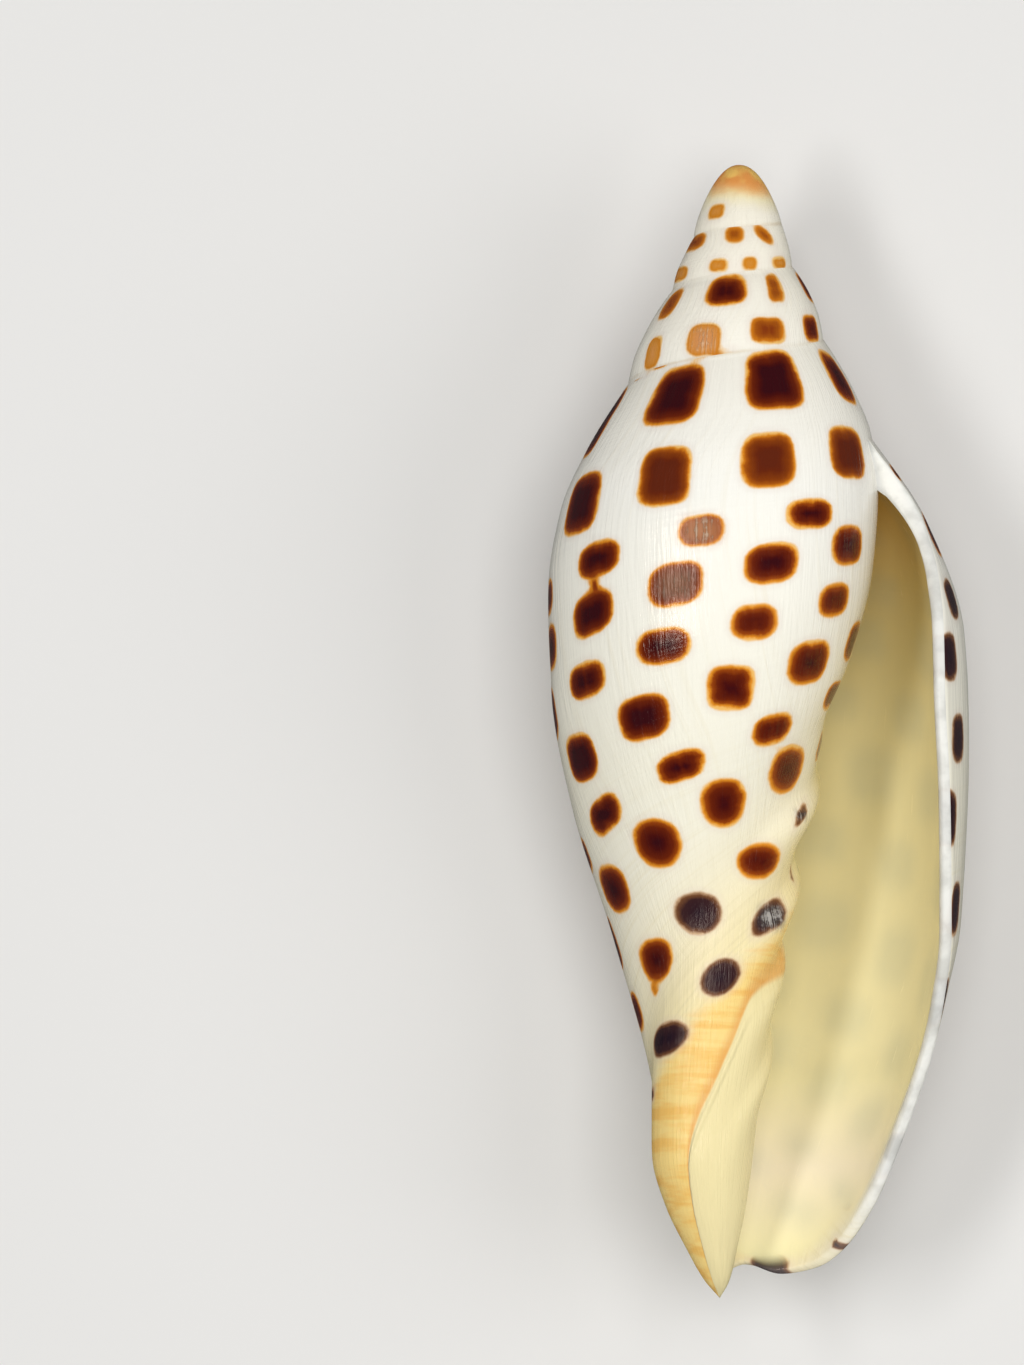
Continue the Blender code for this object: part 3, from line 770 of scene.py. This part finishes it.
def raw_mesh():
    """All sheets in one mesh, the cavity's far end zipped up, with each value stored on the face corners."""
    faces, last_columns = [], []
    first = 0
    for points, _ in sheets:
        number = first + np.arange(points[..., 0].size).reshape(points.shape[:2])
        faces += grid_faces(number)
        last_columns.append(number[:, -1].tolist())
        first += number.size
    wall_faces = len(faces)
    faces += zipped(*last_columns[-2:])
    mesh = bpy.data.meshes.new("spotted_shell")
    mesh.from_pydata(resting(all_points), [], faces)
    corner = np.empty(len(mesh.loops), int)
    mesh.loops.foreach_get("vertex_index", corner)
    for name in sheets[0][1]:
        value = np.concatenate([values[name].ravel() for _, values in sheets])
        mesh.attributes.new(name, "FLOAT", "CORNER").data.foreach_set("value", value[corner])
    map_place = flat[corner]
    cap = mesh.polygons[wall_faces].loop_start
    map_place[cap:] = CAP_PLACE + map_place[cap:] * CAP_SCALE
    mesh.uv_layers.new(name="OFBake").uv.foreach_set("vector", map_place.ravel())
    return mesh


def closed(mesh):
    """Welds the edges that sheets share, cuts all faces into triangles and turns them outwards."""
    welded = bmesh.new()
    welded.from_mesh(mesh)
    bmesh.ops.remove_doubles(welded, verts=welded.verts, dist=WELD)
    bmesh.ops.triangulate(welded, faces=welded.faces, quad_method="SHORT_EDGE")
    bmesh.ops.dissolve_degenerate(welded, dist=WELD, edges=welded.edges)
    bmesh.ops.recalc_face_normals(welded, faces=welded.faces)
    if welded.calc_volume(signed=True) < 0:
        bmesh.ops.reverse_faces(welded, faces=welded.faces)
    open_edges = sum(1 for edge in welded.edges if len(edge.link_faces) != 2)
    welded.to_mesh(mesh)
    welded.free()
    mesh.shade_smooth()
    print(len(mesh.polygons), "triangles,", open_edges, "open edges")
    return mesh


shell = bpy.data.objects.new("spotted_shell", closed(raw_mesh()))
bpy.context.scene.collection.objects.link(shell)
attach(shell, "root")
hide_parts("shell")

# %% [markdown]
# ## Colours and nodes
#
# Colours are picked as they look on a screen and turned into the linear light that Blender mixes. A few
# helpers keep the node trees short: each adds a node, links or fills its sockets, and gives its output.

# %% Node helpers


def paint(red, green, blue):
    """Screen values from 0 to 255 as linear light: ((c + 0.055) / 1.055) to the power 2.4."""
    return tuple(((np.array([red, green, blue]) / 255 + 0.055) / 1.055) ** 2.4) + (1.0,)


def add(tree, kind, sockets=(), **settings):
    """Adds a node with these settings. A socket's value is either another node's output or a plain value."""
    made = tree.nodes.new(kind)
    for name, value in settings.items():
        setattr(made, name, value)
    for place, value in dict(sockets).items():
        if isinstance(value, bpy.types.NodeSocket):
            tree.links.new(value, made.inputs[place])
        else:
            made.inputs[place].default_value = value
    return made


def fed(kind, sockets, output=0, **settings):
    """Adds a node to the tree that the values feeding it are in, and gives its output."""
    tree = next(value.id_data for value in sockets.values() if isinstance(value, bpy.types.NodeSocket))
    return add(tree, kind, sockets, **settings).outputs[output]


def calc(operation, a, b=0.0, c=0.0, clamp=False):
    """Two or three values put together by a named sum, kept between 0 and 1 with clamp."""
    return fed("ShaderNodeMath", {0: a, 1: b, 2: c}, operation=operation, use_clamp=clamp)


def scaled(value, rate, rest=0.0, clamp=False):
    """value times rate, plus rest."""
    return calc("MULTIPLY_ADD", value, rate, rest, clamp)


def step(value, start, end, low=0.0, high=1.0):
    """low where the value is at start, high at end, smooth between."""
    sockets = {"Value": value, "From Min": start, "From Max": end, "To Min": low, "To Max": high}
    return fed("ShaderNodeMapRange", sockets, interpolation_type="SMOOTHSTEP")


def blend(share, a, b):
    """Colour a where the share is 0, b where it is 1, and their mix between."""
    return fed("ShaderNodeMix", {0: share, 6: a, 7: b}, 2, data_type="RGBA")


def colours(value, stops):
    """A colour ramp through (place, colour) stops."""
    output = fed("ShaderNodeValToRGB", {0: value})
    elements = output.node.color_ramp.elements
    for place, _ in stops[2:]:
        elements.new(place)
    for element, (place, colour) in zip(elements, stops):
        element.position = place
        element.color = colour
    return output


def noise(vector, scale, detail=3.0, roughness=0.5):
    """Cloudy noise about 0.5, with this many blobs per unit of the vector."""
    sockets = {"Vector": vector, "Scale": scale, "Detail": detail, "Roughness": roughness}
    return fed("ShaderNodeTexNoise", sockets)


def stretched(a, a_scale, b, b_scale):
    """A vector of two values times their scales. Noise on it is drawn out along the smaller scale."""
    return fed("ShaderNodeCombineXYZ", {0: scaled(a, a_scale), 1: scaled(b, b_scale)})


def new_material(name):
    """A material, its node tree and its main shader."""
    material = bpy.data.materials.new(name)
    material.use_nodes = True
    return material, material.node_tree, material.node_tree.nodes["Principled BSDF"]


print("mid grey on a screen is", round(paint(128, 128, 128)[0], 3), "in linear light")

# %% [markdown]
# ## The glossy wall
#
# The ground is ivory, whiter on the spire and yellower towards the pillar. Over it come the spots, the
# orange band and apex, and inside a yellow glaze through which the spots show as grey-green shadows. The
# gloss is that of glazed porcelain, with fine growth lines in the bump.
#
# Every layer reads the values stored on the wall, so it follows the coil, and noise makes its edges as
# uneven as the real ones. A painted picture would need a seam somewhere. The limits of a step or ramp are
# millimetres where its value is a distance, and shares of 1 where it is noise.

# %% Patterns that the layers share
# Noise is scaled per metre on Object coordinates, and per degree or mm along the wall.
RAGGED_SCALE, RAGGED_REACH = 700.0, 0.36
BLOTCH_SCALE, CRACK_SCALE = 300.0, 1100.0

finish, tree, surface = new_material("spotted_porcelain")
place = add(tree, "ShaderNodeTexCoord").outputs["Object"]
readers = {name: add(tree, "ShaderNodeAttribute", attribute_name=name) for name in sheets[0][1]}
wall = SimpleNamespace(**{name: reader.outputs["Fac"] for name, reader in readers.items()})
ragged = scaled(noise(place, RAGGED_SCALE, 4.0), RAGGED_REACH, -RAGGED_REACH / 2)
edge = calc("ADD", wall.spot, ragged)
growth_lines = noise(stretched(wall.grown, 0.35, wall.level, 0.02), 1.0, 5.0, 0.62)
spirals = noise(stretched(wall.level, 1.3, wall.grown, 0.006), 1.0, 4.0, 0.6)
scratches = noise(stretched(wall.turn, 0.9, wall.down, 0.12), 1.0, 2.0, 0.6)
crosswise = noise(stretched(wall.down, 0.9, wall.turn, 0.012), 1.0, 4.0)
blotches = noise(place, BLOTCH_SCALE)
cracks = step(calc("ADD", noise(place, CRACK_SCALE, 5.0, 0.7), scratches), 1.0, 1.18)
from_scar = scaled(ragged, 1.2, wall.scar)
along = calc("DIVIDE", wall.down, LENGTH / MM)
print(len(tree.nodes), "nodes for the patterns")

# %% The spots' colours
# A spot darkens inwards, with the distance times a cloudy rate, and mottling takes some of it back. Its
# tone chooses among the ramps: ink at -1, maroon at 0, brown at 0.5, orange at 1.
mottled = calc("MINIMUM", scaled(noise(place, 260.0, 5.0, 0.6), 0.7, -0.35), 0.0)
depth = scaled(edge, scaled(noise(place, 55.0, 1.0), -0.7, -0.16), mottled)
maroon = colours(depth, [
    (0.0, paint(244, 190, 104)), (0.1, paint(224, 140, 34)), (0.22, paint(150, 66, 10)),
    (0.42, paint(104, 32, 6)), (0.8, paint(72, 12, 10)), (1.0, paint(56, 8, 16)),
])
orange = colours(depth, [
    (0.0, paint(242, 196, 116)), (0.12, paint(212, 132, 30)), (0.35, paint(216, 144, 58)),
    (1.0, paint(218, 150, 84)),
])
ink = colours(depth, [
    (0.0, paint(206, 168, 128)), (0.13, paint(116, 74, 46)), (0.32, paint(58, 32, 34)),
    (1.0, paint(36, 18, 32)),
])
brown = colours(depth, [
    (0.0, paint(240, 190, 108)), (0.12, paint(208, 122, 24)), (0.35, paint(164, 84, 16)),
    (0.8, paint(134, 56, 14)),
])
inky = scaled(wall.tone, -1.0, clamp=True)
spot_colour = blend(scaled(wall.tone, 2.0, clamp=True), maroon, brown)
spot_colour = blend(scaled(wall.tone, 2.0, -1.0, clamp=True), spot_colour, orange)
spot_colour = blend(inky, spot_colour, ink)
print(len(tree.nodes), "nodes so far")

# %% The ground
# Ivory by share of the shell's length, yellower near the band, with growth lines, spiral lines and stains.
IVORY = [
    (0.0, paint(252, 245, 226)), (0.3, paint(251, 249, 240)), (0.55, paint(249, 245, 226)),
    (0.85, paint(248, 243, 224)),
]
NEAR_BAND, GROWTH_LINE, SPIRAL_LINE = paint(247, 231, 178), paint(234, 222, 190), paint(228, 214, 168)
SUTURE_STAIN, PILLAR_GLAZE, HALO = paint(206, 176, 118), paint(246, 231, 176), paint(222, 200, 190)
BAND_PALE, BAND_DEEP, BAND_EDGE = paint(254, 222, 140), paint(249, 198, 106), paint(230, 156, 80)
BELOW_APEX, APEX_ORANGE, APEX_YELLOW = paint(254, 232, 150), paint(240, 156, 76), paint(253, 202, 104)

ground = colours(along, IVORY)
near_band = scaled(step(wall.band, -20.0, 2.0), step(wall.down, 40.0, 64.0))
ground = blend(near_band, ground, NEAR_BAND)
ground = blend(step(growth_lines, 0.5, 0.75, 0.0, 0.22), ground, GROWTH_LINE)
spiral_share = scaled(step(spirals, 0.46, 0.66, 0.0, 0.36), step(wall.down, 50.0, 84.0))
ground = blend(spiral_share, ground, SPIRAL_LINE)
patchy = step(noise(place, 90.0), 0.45, 0.62, 0.1, 1.0)
stain = scaled(step(calc("ADD", wall.seam, ragged), 0.0, 0.3, 0.35, 0.0), patchy)
ground = blend(stain, ground, SUTURE_STAIN)
# Over it the orange band, the pillar's glaze, the apex, and a pale halo around the spots.
band_colour = blend(step(crosswise, 0.38, 0.66), BAND_PALE, BAND_DEEP)
band_colour = blend(step(wall.glaze, -3.0, 0.3, 0.0, 0.6), band_colour, BAND_EDGE)
ground = blend(step(scaled(crosswise, 3.0, wall.band), 0.5, 4.5), ground, band_colour)
ground = blend(step(wall.glaze, 0.0, 0.9), ground, PILLAR_GLAZE)
ground = blend(step(scaled(blotches, 1.6, wall.down), 2.6, 6.0, 0.8, 0.0), ground, BELOW_APEX)
apex_colour = blend(step(blotches, 0.5, 0.66), APEX_ORANGE, APEX_YELLOW)
ground = blend(step(scaled(blotches, 1.8, wall.down), 2.6, 4.6, 0.95, 0.0), ground, apex_colour)
ground = blend(step(edge, 0.0, 0.8, 0.22, 0.0), ground, HALO)
print(len(tree.nodes), "nodes so far")

# %% Spots, scar, worn places and a painted highlight
SPOT_EDGE = 0.16  # mm over which a spot's edge fades, each way
SCAR_TAN = paint(196, 168, 126)
WORN_AND_SHEEN_TAN, WORN_AND_SHEEN_PALE = paint(212, 142, 92), paint(236, 204, 172)
WORN_GREY, WORN_WHITE = paint(70, 66, 66), paint(196, 192, 186)

outside = blend(step(edge, SPOT_EDGE, -SPOT_EDGE), ground, spot_colour)
scar_line = scaled(step(calc("ABSOLUTE", from_scar), 0.26, 0.06), wall.scarred)
outside = blend(scaled(scar_line, 0.6), outside, SCAR_TAN)
# Worn spots turn tan or grey with cracks, and two maroon spots under the main light get the same tan as a
# painted highlight.
worn_and_sheen_colour = blend(inky, blend(cracks, WORN_AND_SHEEN_TAN, WORN_AND_SHEEN_PALE), blend(cracks, WORN_GREY, WORN_WHITE))
outside = blend(scaled(wall.worn, 0.75), outside, worn_and_sheen_colour)
print(len(tree.nodes), "nodes so far")

# %% The inside and the lip
# By share of the shell's length: brownish high in the opening, then yellow, pinkish, and yellow again.
# The glaze's colours are raised almost to white, partly as painted light for the light that shines
# through the thin wall.
INSIDE = [
    (0.28, paint(240, 202, 120)), (0.39, paint(242, 224, 160)), (0.48, paint(254, 241, 184)),
    (0.8, paint(254, 245, 198)), (0.88, paint(254, 243, 216)), (0.97, paint(252, 244, 188)),
]
SPOT_SHADOW, RIM_CREAM = paint(190, 196, 174), paint(244, 242, 232)
LIP_WHITE, LIP_GREY = paint(240, 240, 234), paint(214, 214, 208)

inside = blend(step(wall.spot, 1.4, -1.8, 0.0, 0.24), colours(along, INSIDE), SPOT_SHADOW)
inside = blend(wall.rim, inside, RIM_CREAM)
colour = blend(wall.inner, outside, inside)
lip_colour = blend(step(noise(place, 400.0, 4.0), 0.4, 0.66), LIP_WHITE, LIP_GREY)
colour = blend(scaled(wall.rim, 0.9), colour, lip_colour)
tree.links.new(colour, surface.inputs["Base Color"])
print(len(tree.nodes), "nodes so far")

# %% Relief and gloss
# Heights in mm of each line or step at its fullest, and how much of the lines the inner glaze fills.
GROWTH_HEIGHT, SCRATCH_HEIGHT, SPIRAL_HEIGHT = 0.07, 0.06, 0.035
CRACK_HEIGHT, RIDGE_HEIGHT, SCAR_DEPTH = 0.08, 0.12, 0.3
FILLED_INSIDE = 0.85
POLISH = 0.09  # the roughness where nothing roughens it
GLOSS_TINT = (1.0, 0.84, 0.72, 1.0)

height = scaled(growth_lines, GROWTH_HEIGHT)
height = scaled(scratches, SCRATCH_HEIGHT, height)
height = scaled(spirals, SPIRAL_HEIGHT, height)
height = scaled(height, scaled(wall.inner, -FILLED_INSIDE, 1.0))
height = scaled(scaled(cracks, wall.worn), CRACK_HEIGHT, height)
ridge = scaled(step(wall.glaze, 0.6, 1.6), step(wall.glaze, 3.0, 1.8))
height = scaled(ridge, RIDGE_HEIGHT, height)
scar_step = scaled(step(from_scar, -0.18, 0.18), wall.scarred)
height = scaled(scar_step, -SCAR_DEPTH, height)
bump = fed("ShaderNodeBump", {"Strength": 1.0, "Distance": MM, "Height": height})
tree.links.new(bump, surface.inputs["Normal"])

rough = scaled(growth_lines, 0.12, POLISH)
rough = scaled(step(scratches, 0.5, 0.7), 0.12, rough)
rough = scaled(wall.worn, 0.3, rough)
tree.links.new(scaled(wall.rim, 0.25, rough), surface.inputs["Roughness"])
surface.inputs["Specular Tint"].default_value = GLOSS_TINT
shell.data.materials.append(finish)
print(len(tree.nodes), "nodes in the finish")

# %% [markdown]
# ## Floor, light and camera
#
# A pale matt floor and wide soft lights leave the shell's own colours alone. The camera looks straight
# down on the shell from far away, as a long lens does over a table, and is turned and placed so that the
# apex and the pillar's end fall on two points of the picture.

# %% Floor
FLOOR_HALF = 1.2
FLOOR_ROUGHNESS = 0.7
FLOOR_GREY, FLOOR_PALE = paint(226, 225, 222), paint(232, 231, 229)

# A matt pale grey that is barely cloudy.
floor_material, tree, surface = new_material("pale_floor")
cloudy = noise(add(tree, "ShaderNodeTexCoord").outputs["Object"], 6.0, 2.0)
tree.links.new(blend(cloudy, FLOOR_GREY, FLOOR_PALE), surface.inputs["Base Color"])
surface.inputs["Roughness"].default_value = FLOOR_ROUGHNESS

floor_mesh = bpy.data.meshes.new("floor")
floor_corners = [(x * FLOOR_HALF, y * FLOOR_HALF, 0) for x, y in ((-1, -1), (1, -1), (1, 1), (-1, 1))]
floor_mesh.from_pydata(floor_corners, [], [(0, 1, 2, 3)])
floor = bpy.data.objects.new("floor", floor_mesh)
bpy.context.scene.collection.objects.link(floor)
floor.data.materials.append(floor_material)
floor.visible_glossy = False  # keeps the pale floor out of the dark spots
print("the floor is", 2 * FLOOR_HALF, "m wide")

# %% Lights
# Each softbox: name, place and size in m, power in W, and whether the gloss mirrors it.
SOFTBOXES = [
    ("main_softbox", (-0.42, 0.04, 0.84), (0.13, 0.42), 2.5, True),
    ("front_softbox", (0.10, 0.06, 1.1), (0.5, 0.5), 5.3, False),
    ("right_softbox", (0.60, -0.05, 0.62), (0.5, 0.5), 1.9, False),
]
ROOM_LIGHT, ROOM_GLARE = 0.22, 0.06  # how bright the room is to the surface, and in its reflections


def placement(right, up, back, at):
    """The matrix of an object with these three axes at this place."""
    rows = np.stack([right, up, back, at], axis=1).tolist()
    return Matrix(rows + [[0, 0, 0, 1]])


def softbox(name, at, size, power, mirrored):
    """A light panel at a place, facing the shell, that shows in its gloss or not."""
    light = bpy.data.lights.new(name, "AREA")
    light.shape = "RECTANGLE"
    light.size, light.size_y = size
    light.energy = power
    lamp = bpy.data.objects.new(name, light)
    bpy.context.scene.collection.objects.link(lamp)
    back = np.array(at, float) / np.linalg.norm(at)
    side = np.cross((0, 1, 0), back)
    side /= np.linalg.norm(side)
    lamp.matrix_world = placement(side, np.cross(back, side), back, at)
    lamp.visible_glossy = mirrored


for softbox_values in SOFTBOXES:
    softbox(*softbox_values)
world = bpy.data.worlds.new("room")
world.use_nodes = True
background = world.node_tree.nodes["Background"]
in_gloss = add(world.node_tree, "ShaderNodeLightPath").outputs["Is Glossy Ray"]
room = scaled(in_gloss, ROOM_GLARE - ROOM_LIGHT, ROOM_LIGHT)
background.inputs["Color"].default_value = (1.0, 1.0, 1.0, 1.0)
world.node_tree.links.new(room, background.inputs["Strength"])
bpy.context.scene.world = world
bpy.context.scene.view_settings.view_transform = "Standard"
print("softboxes:", [name for name, *_ in SOFTBOXES])

# %% Camera
IMAGE_WIDTH, IMAGE_HEIGHT = 1024, 1365
APEX_PIXEL = (741.0, 165.0)
TIP_PIXEL = (719.0, 1295.5)
TILT = 1.5  # degrees off straight down
CAMERA_DISTANCE = 2.0
SENSOR = 36.0

marks = resting(np.concatenate([placed(0.0, 0.0, 0.0)[None], placed(0.0, LENGTH, 0.0)[None]]))
tilt = np.radians(TILT)
across, upward = np.array([1.0, 0, 0]), np.array([0, np.cos(tilt), np.sin(tilt)])
towards = np.array([0, -np.sin(tilt), np.cos(tilt)])
reach = marks[1] - marks[0]
seen = np.array([reach @ across, reach @ upward])
wanted = np.array([TIP_PIXEL[0] - APEX_PIXEL[0], APEX_PIXEL[1] - TIP_PIXEL[1]])
roll = np.arctan2(seen[1], seen[0]) - np.arctan2(wanted[1], wanted[0])
right = across * np.cos(roll) + upward * np.sin(roll)
up = upward * np.cos(roll) - across * np.sin(roll)
pixel = np.linalg.norm(seen) / np.linalg.norm(wanted)
target = marks[0] + right * (IMAGE_WIDTH / 2 - APEX_PIXEL[0]) * pixel
target = target + up * (APEX_PIXEL[1] - IMAGE_HEIGHT / 2) * pixel
eye = target + towards * CAMERA_DISTANCE

lens = bpy.data.cameras.new("camera")
lens.sensor_fit = "VERTICAL"
lens.sensor_height = SENSOR
lens.lens = SENSOR * CAMERA_DISTANCE / (IMAGE_HEIGHT * pixel)
camera = bpy.data.objects.new("camera", lens)
bpy.context.scene.collection.objects.link(camera)
camera.matrix_world = placement(right, up, towards, eye)
bpy.context.scene.camera = camera
print("roll", round(float(np.degrees(roll)), 2), "degrees, lens", round(lens.lens), "mm")
print("one pixel of the picture is", round(pixel / MM, 4), "mm")
